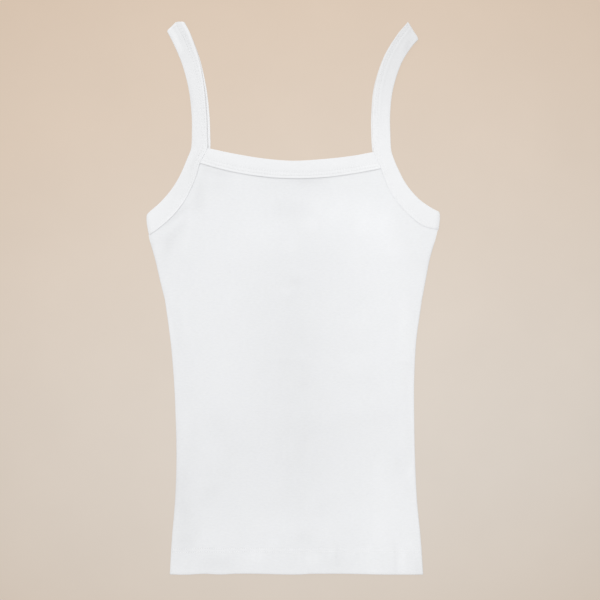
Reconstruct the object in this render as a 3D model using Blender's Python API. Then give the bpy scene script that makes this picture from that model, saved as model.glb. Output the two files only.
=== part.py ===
"""Camisole tank top in white cotton jersey, laid flat with its front up.

Frame: metres, +Z up. The garment rests on z = 0, hem towards -Y and straps towards +Y. The origin is
on that surface, below the middle of the whole outline. Left and right are as seen from above.

Six pieces, as cut and sewn: a front and a back, a neck binding on each, and for each armhole one
strip that binds it all round and runs on over the shoulder as the strap. The hems are the panels'
own cloth turned up. Every piece is a real wall of cloth: the back lies on the surface, the front on
the back, and the strips fold over at the shoulder and at the underarm.
"""

import bpy
import bmesh
import numpy as np

MM = 0.001

# Cloth, in millimetres
CLOTH = 1.1  # one layer of jersey
BINDING = 1.6  # a folded strip with the panel's edge inside it
HEM_CLOTH = 1.8  # the panel's cloth, doubled
HEM_DEPTH = 26.0
GAP = 0.3  # between one piece and the next, and between the layers
SEAM_GAP = 0.35  # the same along a slanting seam
EDGE_ROUND = 0.8  # how a panel's edge rounds over
STRIP_ROUND = 0.6  # how a strip's edges round over
BACK_NECK_DROP = 8.0  # the back neckline lies this much lower than the front one

# Where the sections and the points across them lie. Distances are in millimetres.
BODY_ROWS = 27  # from above the hem to the underarm
COLUMNS = 13  # across the middle of a panel
SIDE_COLUMNS = (5.0, 10.0, 16.0)  # in from a panel's edge, where it bends
HEM_ROWS = (8.0, 16.0, HEM_DEPTH - 1, HEM_DEPTH + 1, HEM_DEPTH + 8)  # up from the hem's edge
SEAM_STEP = 0.5  # along the strips, in table rows
NEAR_NECK = (0.07, 0.02, 0.0)  # the last sections below the neck seam, in table rows
STRIP_COLUMNS = (0.36, 0.6, 0.8)  # shares of a strip's width
NECK_COLUMNS = 19
FOLD_STEPS = 4  # sections round a fold
FOLD_BACK = 0.1  # table rows from a fold to where its edges' directions are read
SEAM_SAMPLES = 160

# Slopes of the front, in millimetres from the seam: raised as far as the first, level from the second
SEAM_SLOPE = (1.0, 12.0)
NECK_SLOPE = (10.0, 24.0)
HEM_SLOPE = (HEM_DEPTH + 2, HEM_DEPTH + 14)
EDGE_SLOPE = (0.0, 7.0)  # the folds die out towards the body's edges

# The body's two edges, in millimetres: height, left and right
SIDES = np.array(
    [
        # height, left_x, right_x
        (-303.4, -135.8, 142.9),
        (-266.0, -133.7, 140.4),
        (-222.0, -130.1, 136.2),
        (-178.0, -128.6, 134.1),
        (-134.0, -129.4, 133.2),
        (-90.0, -131.4, 133.2),
        (-46.0, -135.2, 135.5),
        (-2.0, -141.2, 141.5),
        (20.0, -146.5, 145.7),
        (42.0, -151.4, 150.1),
        (64.0, -157.3, 156.5),
        (86.0, -161.7, 161.9),
    ]
)

# The strips, in millimetres: a section's end on the arm side, its end on the body side, and how far
# the back of the strip lies towards the neck. Row 0 is the shoulder fold, row 14 the underarm fold.
STRIP_LEFT = np.array(
    [
        # arm_x, arm_y, body_x, body_y, back_shift
        (-138.3, 293.5, -119.6, 303.7, 0.0),
        (-130.8, 278.7, -112.3, 289.7, 0.0),
        (-121.7, 256.7, -103.5, 262.6, 1.0),
        (-114.9, 229.2, -98.1, 232.5, 2.4),
        (-111.8, 201.7, -95.4, 202.8, 3.2),
        (-111.5, 181.9, -94.6, 180.8, 3.3),
        (-111.8, 169.8, -94.3, 165.4, 3.0),
        (-113.5, 162.6, -98.2, 156.9, 2.0),
        (-116.7, 155.0, -102.6, 148.3, 1.0),
        (-121.1, 143.9, -105.9, 136.8, 0.3),
        (-126.6, 132.4, -110.7, 124.1, 0.0),
        (-135.0, 119.2, -119.3, 107.3, 0.0),
        (-146.8, 106.0, -131.4, 91.7, 0.0),
        (-156.5, 97.2, -146.0, 78.3, 0.0),
        (-161.6, 91.7, -158.7, 69.1, 0.0),
    ]
)
STRIP_RIGHT = np.array(
    [
        # arm_x, arm_y, body_x, body_y, back_shift
        (137.2, 286.3, 126.4, 302.9, 0.0),
        (128.6, 275.9, 112.6, 287.5, 0.0),
        (117.8, 256.7, 99.0, 264.8, 0.4),
        (109.5, 229.2, 89.9, 233.4, 1.0),
        (106.6, 202.8, 87.3, 203.9, 1.5),
        (106.8, 180.8, 87.3, 180.8, 1.6),
        (107.9, 165.4, 88.6, 161.0, 1.4),
        (109.4, 158.9, 92.6, 151.6, 0.9),
        (112.8, 149.5, 96.5, 142.3, 0.4),
        (116.6, 141.0, 99.8, 132.9, 0.1),
        (122.2, 129.6, 104.8, 120.3, 0.0),
        (129.8, 119.9, 113.0, 107.4, 0.0),
        (141.0, 108.5, 125.7, 93.0, 0.0),
        (153.2, 98.8, 141.6, 80.1, 0.0),
        (161.9, 92.2, 159.9, 75.2, 0.0),
    ]
)
HEM = SIDES[0, 0]
UNDERARM = len(STRIP_LEFT) - 1
NECK_ROWS_FRONT = (6.0, 8.0)  # strip rows that the ends of the neck binding meet: top, lower edge
NECK_ROWS_BACK = (6.85, 8.75)

# How far the shoulder fold reaches past its own line, by share of the width from the arm side
FOLD_LEFT = ((0.0, -0.5), (0.08, 0.6), (0.36, 2.2), (0.6, 4.8), (0.8, 2.8), (1.0, 0.4))
FOLD_RIGHT = ((0.0, -0.8), (0.1, 0.4), (0.9, 0.3), (1.0, -0.4))
FOLD_UNDERARM = ((0.0, -0.8), (0.1, 0.4), (0.4, 0.7), (0.7, 0.4), (1.0, 0.0))

# The front neck binding between its ends, in millimetres
NECK = np.array(
    [
        # top_x, top_y, lower_x, lower_y
        (-67.4, 159.6, -71.8, 140.1),
        (-34.4, 154.1, -36.6, 134.0),
        (-1.4, 151.4, -3.6, 131.7),
        (31.6, 153.1, 33.8, 132.8),
        (64.6, 156.7, 69.0, 137.4),
    ]
)

# Soft folds that stand up in the front, in millimetres
FOLDS = np.array(
    [
        # x0, y0, x1, y1, half_width, height
        (-136.0, 14.0, -125.0, -57.0, 5.0, 0.9),
        (-125.0, -57.0, -120.0, -125.0, 5.0, 0.7),
        (-120.0, -125.0, -125.0, -270.0, 5.0, 0.5),
        (124.0, 8.0, 121.0, -250.0, 6.0, 0.5),
        (-119.0, 96.0, -142.0, 64.0, 7.0, 1.5),
        (-138.0, 60.0, -146.0, 34.0, 5.0, 1.1),
        (126.0, 70.0, 146.0, 40.0, 8.0, 0.9),
        (-24.0, 84.0, 20.0, 70.0, 16.0, 0.9),
        (22.0, -10.0, 20.0, -190.0, 9.0, 0.8),
        (-4.0, 0.0, -2.0, -170.0, 9.0, 0.6),
        (64.0, 30.0, 92.0, -215.0, 22.0, 1.3),
        (-60.0, -40.0, -52.0, -200.0, 24.0, 0.8),
        (38.0, 100.0, 92.0, 60.0, 18.0, 1.0),
        (48.0, -272.0, 47.0, -292.0, 5.0, 0.9),
        (108.0, -270.0, 110.0, -303.0, 6.0, 1.0),
        (-84.0, -276.0, -58.0, -298.0, 11.0, 0.8),
    ]
)

# Heights of the layers above the surface, worked out from the cloth
FRONT_STRIP_LOW = BINDING + GAP
STACK = 2 * BINDING + GAP
FRONT_LOW = CLOTH + GAP
SEAM_RISE = FRONT_STRIP_LOW + (BINDING - CLOTH) / 2 - FRONT_LOW
HEM_RISE = HEM_CLOTH - CLOTH
ROUND = np.array([(0.0, 1.0), (0.29, 0.29), (1.0, 0.0)])  # inset and drop of a rounded edge


def smooth(rows, at):
    """Catmull-Rom curve through the rows, read at the row numbers in at."""
    rows, at = np.asarray(rows, float), np.atleast_1d(np.asarray(at, float))
    padded = np.vstack([2 * rows[0] - rows[1], rows, 2 * rows[-1] - rows[-2]])
    low = np.clip(np.floor(at).astype(int), 0, len(rows) - 2)
    t = (at - low)[:, None]
    a, b, c, d = (padded[low + i] for i in range(4))
    return b + 0.5 * t * (c - a + t * (2 * a - 5 * b + 4 * c - d + t * (3 * (b - c) + d - a)))


def fall(distance, hold, end):
    """1 as far as hold, then an S-curve down to 0 at end."""
    t = np.clip((end - distance) / (end - hold), 0, 1)
    return t * t * (3 - 2 * t)


def unit(vectors):
    """The vectors at length 1."""
    return vectors / np.linalg.norm(vectors, axis=-1, keepdims=True)


def distance_to(points, line):
    """Distance from each point of a grid to the nearest sample of a line."""
    return np.linalg.norm(points[..., None, :] - line, axis=-1).min(-1)


def strip_ends(strip, at, back=False):
    """A strip's arm-side and body-side points at the row numbers in at."""
    rows = smooth(strip, at)
    arm, body, shift = rows[:, 0:2], rows[:, 2:4], rows[:, 4:5]
    if not back:
        return arm, body
    moved = unit(body - arm) * shift
    return arm + moved, body + moved


def strip_seam(strip, at, back=False):
    """Points just clear of a strip's body side, where the next piece begins."""
    arm, body = strip_ends(strip, at, back)
    return body + unit(body - arm) * SEAM_GAP


def neck_line(lower, back, shares):
    """The top or the lower edge of a neck binding, from strip to strip."""
    row = (NECK_ROWS_BACK if back else NECK_ROWS_FRONT)[lower]
    middle = NECK[:, 2:4] if lower else NECK[:, 0:2]
    drop = (0.0, BACK_NECK_DROP if back else 0.0)
    ends = [strip_seam(strip, row, back) for strip in (STRIP_LEFT, STRIP_RIGHT)]
    line = np.vstack([ends[0], middle - drop, ends[1]])
    return smooth(line, np.asarray(shares) * (len(line) - 1))


def side_x(heights, column):
    """A body edge's x at each height, by the column of SIDES."""
    at = np.interp(heights, SIDES[:, 0], np.arange(len(SIDES)))
    return smooth(SIDES[:, [column]], at)[:, 0]


def panel_edge(strip, column, back):
    """A panel's edge from the hem up: the body's edge, then the strip's seam as far as the neck."""
    top_row = (NECK_ROWS_BACK if back else NECK_ROWS_FRONT)[1]
    seam_rows = np.arange(UNDERARM, top_row + SEAM_STEP / 2, -SEAM_STEP)
    seam = strip_seam(strip, np.append(seam_rows, top_row + np.array(NEAR_NECK)), back)
    body = np.linspace(HEM + HEM_ROWS[-1], seam[0, 1] - SIDE_COLUMNS[0], BODY_ROWS + 1)[1:]
    heights = HEM + np.concatenate([ROUND[:, 0] * EDGE_ROUND, HEM_ROWS, body - HEM])
    edge = np.column_stack([side_x(heights, column), heights])
    return np.vstack([edge, seam]), len(heights)


def panel_grid(back):
    """A panel's points in plan, from hem to neck and left to right, and how far each edge rounds over."""
    left, body_rows = panel_edge(STRIP_LEFT, 1, back)
    right, _ = panel_edge(STRIP_RIGHT, 2, back)
    width = np.linalg.norm(right - left, axis=1)[:, None]
    insets = np.append(ROUND[:, 0] * EDGE_ROUND, SIDE_COLUMNS) / width
    inner = np.linspace(0, 1, COLUMNS + 2)[1:-1]
    inner = insets[:, -1:] + inner * (1 - 2 * insets[:, -1:])
    shares = np.hstack([insets, inner, 1 - insets[:, ::-1]])
    grid = left[:, None] + (right - left)[:, None] * shares[..., None]
    neck = neck_line(True, back, shares[-1]) - (0.0, SEAM_GAP)
    sag = neck - grid[-1]
    # Rows above the underarm take up the neckline's curve little by little.
    rise = np.linspace(0, 1, len(left) - body_rows - 2) ** 1.3
    weight = np.concatenate([np.zeros(body_rows), rise, (rise[-1], rise[-1])])
    grid = grid + weight[:, None, None] * sag
    # The last two rows before the neck edge lie by the width of its rounding below it.
    for k, (inset, _) in enumerate(ROUND):
        grid[-1 - k] = grid[-1] - (0.0, inset * EDGE_ROUND)
    return grid, edge_drop(grid, EDGE_ROUND)


def edge_drop(grid, radius):
    """How far the outer face drops at each point, where its four edges round over."""
    drop = np.zeros(grid.shape[:2])
    for k, (_, down) in enumerate(ROUND * radius):
        for cells in (np.s_[k, :], np.s_[-1 - k, :], np.s_[:, k], np.s_[:, -1 - k]):
            drop[cells] = np.maximum(drop[cells], down)
    return drop


def doubled(grid):
    """Thickness of a panel: two layers in the hem."""
    return CLOTH + HEM_RISE * fall(grid[..., 1] - HEM, HEM_DEPTH - 1, HEM_DEPTH + 1)


def folds(grid):
    """Height that the soft folds add at each point."""
    lift = np.zeros(grid.shape[:2])
    for x0, y0, x1, y1, half_width, height in FOLDS:
        start, run = np.array((x0, y0)), np.array((x1 - x0, y1 - y0))
        along = np.clip(((grid - start) @ run) / (run @ run), 0, 1)
        off = np.linalg.norm(grid - start - along[..., None] * run, axis=-1)
        lift += height * np.exp(-((off / half_width) ** 2))
    return lift


def front_low(grid):
    """The underside of the front: on the back, raised at the seams and the hem, and in its folds."""
    rows = np.linspace(NECK_ROWS_FRONT[1], UNDERARM, SEAM_SAMPLES)
    seams = np.vstack([strip_seam(strip, rows) for strip in (STRIP_LEFT, STRIP_RIGHT)])
    neck = neck_line(True, False, np.linspace(0, 1, SEAM_SAMPLES))
    to_seam, to_neck = distance_to(grid, seams), distance_to(grid, neck)
    at_seam = np.maximum(fall(to_seam, *SEAM_SLOPE), fall(to_neck, *NECK_SLOPE))
    at_hem = fall(grid[..., 1] - HEM, *HEM_SLOPE)
    # The folds die out at the seams and at the body's edges.
    edge = np.minimum(grid[..., 0] - grid[:, :1, 0], grid[:, -1:, 0] - grid[..., 0])
    free = (1 - fall(edge, *EDGE_SLOPE)) * (1 - at_seam)
    return FRONT_LOW + SEAM_RISE * at_seam + HEM_RISE * at_hem + folds(grid) * free


def make_node(name, points, faces, colour):
    """A closed body of the given points in millimetres, with its own cotton material."""
    mesh = bpy.data.meshes.new(name)
    mesh.from_pydata((points * MM).tolist(), [], faces.tolist())
    shape = bmesh.new()
    shape.from_mesh(mesh)
    bmesh.ops.recalc_face_normals(shape, faces=shape.faces[:])
    shape.to_mesh(mesh)
    shape.free()
    mesh.shade_smooth()
    mesh.set_sharp_from_angle(angle=np.radians(40))
    mesh.materials.append(cotton(name, colour))
    node = bpy.data.objects.new(name, mesh)
    bpy.data.collections["tank_top"].objects.link(node)
    return node


def cotton(name, colour):
    """A matte cotton material in the given colour."""
    material = bpy.data.materials.new(name + "_cotton")
    material.use_nodes = True
    shader = material.node_tree.nodes["Principled BSDF"]
    shader.inputs["Base Color"].default_value = (*colour, 1.0)
    shader.inputs["Roughness"].default_value = 0.9
    shader.inputs["Metallic"].default_value = 0.0
    return material


def loft(name, rings, colour, looped):
    """One body through rings of as many points each: a closed loop of them, or capped at both ends."""
    count, size = rings.shape[:2]
    ring = np.arange(count if looped else count - 1)[:, None]
    point = np.arange(size)[None, :]
    following, beside = (ring + 1) % count, (point + 1) % size
    corners = (ring * size + point, following * size + point, following * size + beside, ring * size + beside)
    faces = np.stack(corners, -1).reshape(-1, 4)
    if not looped:
        # A ring runs along one face of the wall and back along the other, so its cap is a row of quads.
        near = np.arange(size // 2 - 1)
        cap = np.stack([near, near + 1, size - 2 - near, size - 1 - near], -1)
        faces = np.vstack([faces, cap, cap + (count - 1) * size])
    return make_node(name, rings.reshape(-1, 3), faces, colour)


def wall(name, grid, inside, thickness, drop, out, colour):
    """A wall of cloth over a grid in plan. out is 1 where its outer face is the upper one, or -1."""
    outer = np.dstack([grid, inside + out * (thickness - drop)])
    inner = np.dstack([grid, np.broadcast_to(inside, drop.shape)])
    return loft(name, np.concatenate([outer, inner[:, ::-1]], axis=1), colour, looped=False)


def make_front(colour):
    """The front panel, lying on the back with its hem turned up."""
    grid, drop = panel_grid(back=False)
    return wall("front_panel", grid, front_low(grid), doubled(grid), drop, 1, colour)


def make_back(colour):
    """The back panel, flat on the surface."""
    grid, drop = panel_grid(back=True)
    thickness = doubled(grid)
    return wall("back_panel", grid, thickness, thickness, drop, -1, colour)


def make_neck_binding(name, back, colour):
    """A strip from armhole to armhole, its ends cut along the strips that cross them."""
    ends = ROUND[:, 0] * STRIP_ROUND / np.ptp(NECK[:, 0])
    along = np.concatenate([ends, np.linspace(0, 1, NECK_COLUMNS + 2)[1:-1], 1 - ends[::-1]])
    top, lower = neck_line(False, back, along), neck_line(True, back, along)
    width = np.linalg.norm(lower - top, axis=1)[:, None]
    insets = ROUND[:, 0] * STRIP_ROUND / width
    shares = np.hstack([insets, np.full((len(along), 1), 0.5), 1 - insets[:, ::-1]])
    grid = top[:, None] + (lower - top)[:, None] * shares[..., None]
    top_row, lower_row = NECK_ROWS_BACK if back else NECK_ROWS_FRONT
    for column, strip in ((0, STRIP_LEFT), (-1, STRIP_RIGHT)):
        rows = top_row + (lower_row - top_row) * shares[column]
        grid[column] = strip_seam(strip, rows, back)
    inside = np.full(grid.shape[:2], BINDING if back else FRONT_STRIP_LOW)
    return wall(name, grid, inside, BINDING, edge_drop(grid, STRIP_ROUND), -1 if back else 1, colour)


def strip_section(arm, body):
    """A section's shares of the width from the arm side, its points in plan, and half its height at each."""
    inset = ROUND[:, 0] * STRIP_ROUND / np.linalg.norm(body - arm)
    shares = np.concatenate([inset, STRIP_COLUMNS, 1 - inset[::-1]])
    down = np.concatenate([ROUND[:, 1], np.zeros(len(STRIP_COLUMNS)), ROUND[::-1, 1]]) * STRIP_ROUND
    return shares, arm + (body - arm) * shares[:, None], BINDING / 2 - down


def strip_ring(line, forward, half, angle):
    """A section turned about the fold's axis: angle 0 is the front, pi the back."""
    radius = (BINDING + GAP) / 2
    heights = np.concatenate([radius + half, radius - half[::-1]])[:, None]
    plan = np.vstack([line, line[::-1]]) + np.vstack([forward, forward[::-1]]) * np.sin(angle) * heights
    return np.hstack([plan, STACK / 2 + np.cos(angle) * heights])


def strip_fold(strip, row, before, reach):
    """The rings of one fold, from the front to the back. Each point runs on the way its edge was going."""
    arms, bodies = strip_ends(strip, (row, before))
    shares, line, half = strip_section(arms[0], bodies[0])
    across = unit(bodies[0] - arms[0])
    away = np.array((-across[1], across[0]))
    runs = [(ends[0] - ends[1]) / ((ends[0] - ends[1]) @ away) for ends in (arms, bodies)]
    sense = np.sign((arms[0] - arms[1]) @ away)
    forward = sense * (runs[0] + (runs[1] - runs[0]) * shares[:, None])
    past = np.interp(shares, *np.transpose(reach)) - STACK / 2
    line = line + forward * past[:, None]
    return [strip_ring(line, forward, half, angle) for angle in np.linspace(0, np.pi, FOLD_STEPS + 1)]


def make_strip(name, strip, reach, colour):
    """Armhole binding and strap in one: down the front, up the back, folded at underarm and shoulder."""
    rows = np.arange(SEAM_STEP, UNDERARM, SEAM_STEP)
    rings = strip_fold(strip, 0, FOLD_BACK, reach)[::-1]
    for back in (False, True):
        arms, bodies = strip_ends(strip, rows[::-1] if back else rows, back)
        for arm, body in zip(arms, bodies):
            _, line, half = strip_section(arm, body)
            rings.append(strip_ring(line, 0 * line, half, np.pi if back else 0.0))
        if not back:
            rings += strip_fold(strip, UNDERARM, UNDERARM - FOLD_BACK, FOLD_UNDERARM)
    return loft(name, np.array(rings), colour, looped=True)


def main():
    for old in list(bpy.data.objects):
        bpy.data.objects.remove(old, do_unlink=True)
    bpy.context.scene.collection.children.link(bpy.data.collections.new("tank_top"))
    body_white, strip_white = (0.86, 0.865, 0.875), (0.88, 0.882, 0.888)
    make_front(body_white)
    make_back(body_white)
    make_neck_binding("front_neck_binding", False, strip_white)
    make_neck_binding("back_neck_binding", True, strip_white)
    make_strip("left_armhole_strap", STRIP_LEFT, FOLD_LEFT, strip_white)
    make_strip("right_armhole_strap", STRIP_RIGHT, FOLD_RIGHT, strip_white)


main()
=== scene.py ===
"""White cotton camisole tank top, laid flat with its front up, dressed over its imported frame.

The garment lies on z = 0, hem towards -Y and straps towards +Y. Shapes are worked out in millimetres
and turned to metres when a mesh is made. Left and right are as seen from above.
"""

import bpy
import numpy as np
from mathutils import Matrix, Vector


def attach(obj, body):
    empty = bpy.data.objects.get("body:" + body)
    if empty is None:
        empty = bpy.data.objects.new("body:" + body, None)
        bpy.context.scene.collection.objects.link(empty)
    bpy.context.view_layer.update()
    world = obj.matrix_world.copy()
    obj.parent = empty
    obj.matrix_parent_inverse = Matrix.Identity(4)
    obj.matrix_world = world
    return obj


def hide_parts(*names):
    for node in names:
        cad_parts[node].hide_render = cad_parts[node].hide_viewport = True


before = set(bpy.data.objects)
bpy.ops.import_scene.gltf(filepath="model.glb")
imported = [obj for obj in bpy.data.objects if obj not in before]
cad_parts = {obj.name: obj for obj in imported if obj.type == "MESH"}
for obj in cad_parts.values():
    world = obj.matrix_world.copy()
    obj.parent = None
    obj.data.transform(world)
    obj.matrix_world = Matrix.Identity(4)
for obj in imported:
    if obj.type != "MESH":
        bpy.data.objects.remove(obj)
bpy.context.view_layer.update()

bl_info = {
    "name": "Laid-out tank top",
    "version": (1, 0, 0),
    "blender": (4, 5, 0),
    "location": "3D View > Sidebar > Tank top",
    "description": "Cloth, bindings, straps and sewing of a tank top that lies flat",
    "category": "Object",
}

MM = 0.001
STAGE_SIZE = 3.0  # metres
ON_FLOOR = -0.0006  # metres: the floor lies this much below the garment

# Heights, in millimetres. The back lies on the floor and the front on the back.
CLOTH = 1.0
BINDING = 1.6
GAP = 0.3
STACK = 2 * BINDING + GAP
FRONT_TOP = 2.55
SEAM_TOP = 2.8  # the front's upper face where it goes into a binding
NECK_DIP = 0.17  # how far it sinks just below the neck binding
TUCKED = 0.65  # thickness of cloth pressed into a binding
TUCK = 1.2  # how far it goes in
SLOT_DEPTH = 1.6
SLOT_LEVEL = -0.2  # a slot's middle, from mid-cloth
HEM_CLOTH = 1.6
HEM_LIFT = 0.8  # how much higher the front lies on the hems
RIM_LEVEL = 1.27  # where both faces of a panel meet at the body's edges
HEM_RIM_LIFT = 0.45  # how much higher they meet at the hem
BACK_THINNER = 0.42  # how much flatter a strip is on the garment's back
END_LEVEL = -0.22  # the middle of a neck binding's pressed end, from mid-cloth
END_PRESSED = 0.62  # share by which that end is pressed thinner
BACK_NECK_DROP = 8.0

STITCH_STEPS = 4  # rings of a strip to one stitch
FOLD_STEPS = 8  # parts of a strip's half turn at a fold
SEWN_SIDE = 0.7  # share of a strip's width, from its folded edge, where stitches are counted
NECK_POINTS = 240
CURVE_POINTS = 1500  # points between which a curve's length is summed
SEAM_ROWS = 74  # equal steps into which a panel's edge beside a strip is first cut
COLUMNS = 110  # evenly spaced columns of a panel's mesh; those near its edges lie closer
BODY_LENGTH = 370.0  # millimetres from hem to underarm, about, for which mesh rows are counted
PANEL_STREAKS = 0.08  # strength of the streaks along the jersey's courses
STRIP_STREAKS = 0.04

# The body's two edges, in millimetres: height, left and right
SIDES = np.array((
    (-303.4, -135.8, 142.9),
    (-266, -133.7, 140.4),
    (-222, -130.1, 136.2),
    (-178, -128.6, 134.1),
    (-134, -129.4, 133.2),
    (-90, -131.4, 133.2),
    (-46, -135.2, 135.5),
    (-2, -141.2, 141.5),
    (20, -146.7, 145.7),
    (42, -151.8, 150),
    (64, -157.9, 156.1),
    (86, -162.1, 161.4),
))

# Each strip, in millimetres: a section's end on the arm side, its end on the body side, and how far
# the back of the strip lies towards the neck. Row 0 is the shoulder fold, row 14 the underarm fold.
STRIP_LEFT = np.array((
    (-138.7, 293.3, -119.6, 303.7, 0),
    (-131.1, 278.5, -112.5, 289.6, 0.1),
    (-122, 256.6, -103.6, 262.6, 1.1),
    (-114.9, 229.2, -98.1, 232.5, 2.4),
    (-111.8, 201.7, -95.4, 202.8, 3.2),
    (-111.5, 181.9, -94.6, 180.8, 3.3),
    (-111.8, 169.8, -94.3, 165.4, 3),
    (-113, 162.4, -98.2, 156.9, 2),
    (-116.2, 154.8, -102.6, 148.3, 1),
    (-120.7, 143.7, -105.9, 136.8, 0.3),
    (-126.2, 132.2, -110.7, 124.1, 0),
    (-134.6, 118.9, -119.3, 107.3, 0),
    (-146.3, 105.5, -131.4, 91.7, 0),
    (-156.2, 96.9, -146, 78.3, 0),
    (-161.6, 91.7, -158.7, 69.1, 0),
))
STRIP_RIGHT = np.array((
    (138, 285.1, 125.4, 303.2, 0),
    (129.4, 275.4, 112.6, 287.6, 0),
    (118.2, 256.6, 99.3, 264.7, 0.2),
    (109.6, 229.2, 89.9, 233.4, 1),
    (106.6, 202.8, 87.3, 203.9, 1.5),
    (106.8, 180.8, 87.3, 180.8, 1.6),
    (107.5, 165.3, 88.6, 161, 1.4),
    (108.8, 158.7, 92.6, 151.6, 0.9),
    (112.2, 149.3, 96.5, 142.3, 0.4),
    (116.1, 140.8, 99.8, 132.9, 0.1),
    (121.9, 129.4, 104.8, 120.3, 0),
    (129, 119.3, 113, 107.4, 0),
    (139.8, 107.9, 125.7, 93, 0),
    (153.2, 98.8, 141.6, 80.1, 0),
    (161, 95, 159.9, 75.2, 0),
))
HEM = SIDES[0, 0]
UNDERARM = len(STRIP_LEFT) - 1
FOLD_REACH = 0.5  # table rows over which a strip runs out to its fold

# The strip rows that the ends of a neck binding's top and lower edge meet, in the front and in the back
NECK_ROWS = ((6.0, 8.0), (6.85, 8.75))

# How far each fold reaches past its own line, by share of the width from the arm side
SHOULDER_LEFT = ((0, 0.4), (0.08, 1.7), (0.3, 2.8), (0.58, 4.8), (0.74, 4), (0.92, 1.8), (1, 0.3))
SHOULDER_RIGHT = ((0, 0), (0.15, 0.6), (0.45, 0.6), (0.7, 1.1), (0.9, 1.3), (1, 1.2))
FOLD_UNDERARM = ((0, -0.2), (0.1, 0.6), (0.4, 1), (0.7, 0.7), (1, 0))

# How far each strap's sewing runs in from its usual line, or out where the shift is below 0: distance
# from the shoulder, shift
DRIFT_LEFT = ((0, 4.1), (11, 3.8), (25, 2.9), (36, 1.8), (60, 0.4), (85, 0))
DRIFT_RIGHT = ((0, -1), (12, -0.8), (30, 0), (45, 0))

# How far the sewing has sunk into each strap's cloth, from 0 where its needle holes show fully to
# about 1 where they hardly show, which also weakens their painted shade: distance from the shoulder, share
WORN_LEFT = ((0, 0.3), (20, 0.45), (40, 0.6), (55, 1.1), (90, 1.2), (130, 1.1), (170, 0.85), (230, 1))
WORN_RIGHT = ((0, 0.5), (20, 0.6), (30, 0.8), (60, 0.9), (90, 1), (115, 1.2), (170, 1.1))

# The front neck binding between its ends, in millimetres: its top edge and its lower edge
NECK = np.array((
    (-67.4, 159.6, -71.8, 140.1),
    (-34.4, 154.1, -36.6, 134),
    (-1.4, 151.4, -3.6, 131.7),
    (31.6, 153.1, 33.8, 132.8),
    (64.6, 156.7, 69, 137.4),
))

# How far the hem's edge strays from a straight line, in millimetres: place across, drop
HEM_WAVE = np.array((
    (-136, -0.2),
    (-116, -0.4),
    (-98, 0.5),
    (-80, -0.2),
    (-62, 0.6),
    (-37, 0.5),
    (-10, -0.2),
    (8, -0.2),
    (19, 0.5),
    (57, 0.55),
    (78, 0.1),
    (96, -0.3),
    (122, -0.35),
    (143, -0.4),
))

# Soft ridges (height above 0) and troughs in the front, in millimetres. The two widths are how far
# each falls away to the left and to the right of its line, looking along it.
CREASES_FRONT = (
    # x0, y0, x1, y1, left_width, right_width, height
    (-136, 14, -125, -57, 5, 4, 0.55),
    (-125, -57, -120, -125, 6, 5, 0.5),
    (-120, -125, -125, -270, 6, 8, 0.5),
    (124, 8, 121, -250, 7, 6, 0.5),
    (-104, 134, -122, 92, 9, 6, 0.5),
    (-119, 96, -142, 64, 7, 6, 0.8),
    (-138, 60, -146, 34, 5, 5, 0.7),
    (126, 70, 146, 40, 8, 7, 0.6),
    (-26, 107, 26, 104, 8, 11, 0.15),
    (-14, 30, 16, 25, 5, 5, 0.3),
    (-13, 12, 7, 17, 4, 5, -0.2),
    (-36, -66, 32, -70, 7, 4.5, 0.2),
    (108, -66, 133, -72, 3, 3, 0.3),
    (14, -4, 12, -200, 4, 14, 0.6),
    (30, -176, 30, -280, 4, 10, 0.4),
    (62, 76, 92, -196, 12, 26, 0.9),
    (116, 16, 121, -62, 5, 5, 0.35),
    (-84, -190, -124, -268, 12, 16, 0.7),
    (-47, -152, -96, -214, 12, 16, 0.5),
    (-6, -196, -66, -262, 16, 22, 0.45),
    (48, -268, 47, -296, 4, 4, 0.4),
    (110, -268, 111, -303, 5, 4, 0.5),
    (-84, -278, -60, -300, 9, 9, 0.4),
    (20, -262, 8, -284, 7, 7, 0.4),
    (38, 100, 92, 60, 16, 20, 0.8),
)

# The same in the back, where they are softer
CREASES_BACK = (
    (-92, 104, -60, 30, 14, 10, 0.22),
    (84, 98, 104, 24, 10, 14, 0.24),
    (-20, 92, 34, 84, 8, 12, 0.2),
    (-34, -20, 42, -34, 9, 6, 0.2),
    (-96, -40, -110, -200, 8, 12, 0.24),
    (70, -30, 96, -230, 12, 22, 0.25),
    (-12, -60, -4, -230, 6, 14, 0.2),
    (-70, -150, -28, -250, 16, 10, 0.22),
    (30, -200, 60, -286, 8, 8, 0.2),
    (-104, -262, -96, -300, 5, 6, 0.2),
    (4, -268, 2, -300, 6, 6, 0.2),
)
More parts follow.
